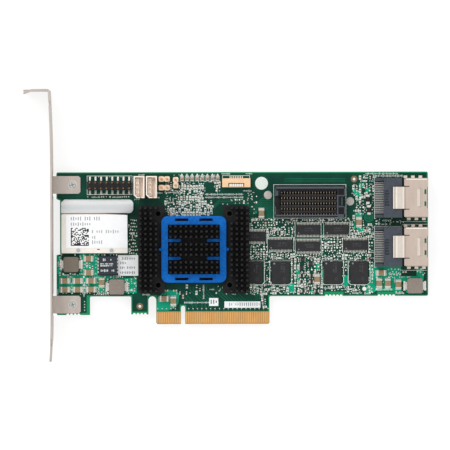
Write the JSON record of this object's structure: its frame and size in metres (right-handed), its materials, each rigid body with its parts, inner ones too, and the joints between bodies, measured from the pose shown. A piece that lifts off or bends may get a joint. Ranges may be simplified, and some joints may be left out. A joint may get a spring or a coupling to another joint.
{
  "type": "raid controller card",
  "caption": "Low-height expansion card with an edge connector, slot bracket, clipped pin-fin heat sink and edge-facing multi-lane ports.",
  "frame": {"origin": "middle of the key notch on the lower edge of the edge connector, half-way through the board", "axes": "+X along the card away from the bracket, +Y from the edge connector to the top edge, +Z out of the component side"},
  "size_m": [0.1833, 0.1231, 0.0184],
  "materials": {
    "board_laminate": "green solder mask over glass-fibre laminate",
    "gold_plating": "hard gold plating, satin",
    "bracket_steel": "plated steel sheet, satin",
    "screw_steel": "zinc-plated steel",
    "chip_mould": "dark moulding compound",
    "pad_rubber": "thermal pad",
    "black_anodised": "black anodised aluminium",
    "blue_plastic": "glass-filled moulding, satin",
    "black_plastic": "moulded, matt",
    "white_plastic": "moulded nylon, satin",
    "tin_plating": "tin plating and solder",
    "cream_plastic": "moulded nylon, satin",
    "slate_plastic": "moulded, matt",
    "cage_steel": "nickel-plated sheet, satin",
    "pressed_powder": "pressed iron powder, matt",
    "tan_ceramic": "fired ceramic, satin",
    "resistor_glaze": "black glaze",
    "led_lens": "clear lens over a pale base",
    "ivory_plastic": "moulded, satin",
    "pale_plastic": "moulded, smooth satin",
    "label_paper": "coated label paper"
  },
  "bodies": {
    "root": {"circuit_board": "board_laminate", "edge_contacts": "gold_plating", "bracket": "bracket_steel", "bracket_screws": "screw_steel", "controller_chip": "chip_mould", "thermal_pad": "pad_rubber", "heat_sink": "black_anodised", "heat_sink_clip": "blue_plastic", "header_block": "black_plastic", "header_pins": "gold_plating", "wire_socket_shells": "white_plastic", "wire_socket_pins": "tin_plating", "jumper_blocks": "cream_plastic", "jumper_pins": "gold_plating", "cable_socket_shell": "cream_plastic", "cable_socket_contacts": "tin_plating", "module_socket_shell": "black_plastic", "module_socket_contacts": "tin_plating", "upper_port_housing": "slate_plastic", "upper_port_cage": "cage_steel", "upper_port_contacts": "tin_plating", "lower_port_housing": "slate_plastic", "lower_port_cage": "cage_steel", "lower_port_contacts": "tin_plating", "memory_chips": "chip_mould", "buffer_chips": "chip_mould", "buffer_leads": "tin_plating", "small_chips": "chip_mould", "transistors": "chip_mould", "inductor_cores": "pressed_powder", "inductor_terminals": "tin_plating", "power_module": "chip_mould", "power_module_pads": "tin_plating", "large_capacitor_bodies": "tan_ceramic", "large_capacitor_ends": "tin_plating", "small_capacitors": "tan_ceramic", "resistors": "resistor_glaze", "solder_side_capacitors": "tan_ceramic", "status_leds": "led_lens", "cover_base": "ivory_plastic", "cover_bar": "pale_plastic", "product_label": "label_paper", "part_label": "label_paper", "revision_label": "label_paper", "strip_label": "label_paper"}
  },
  "joints": []
}
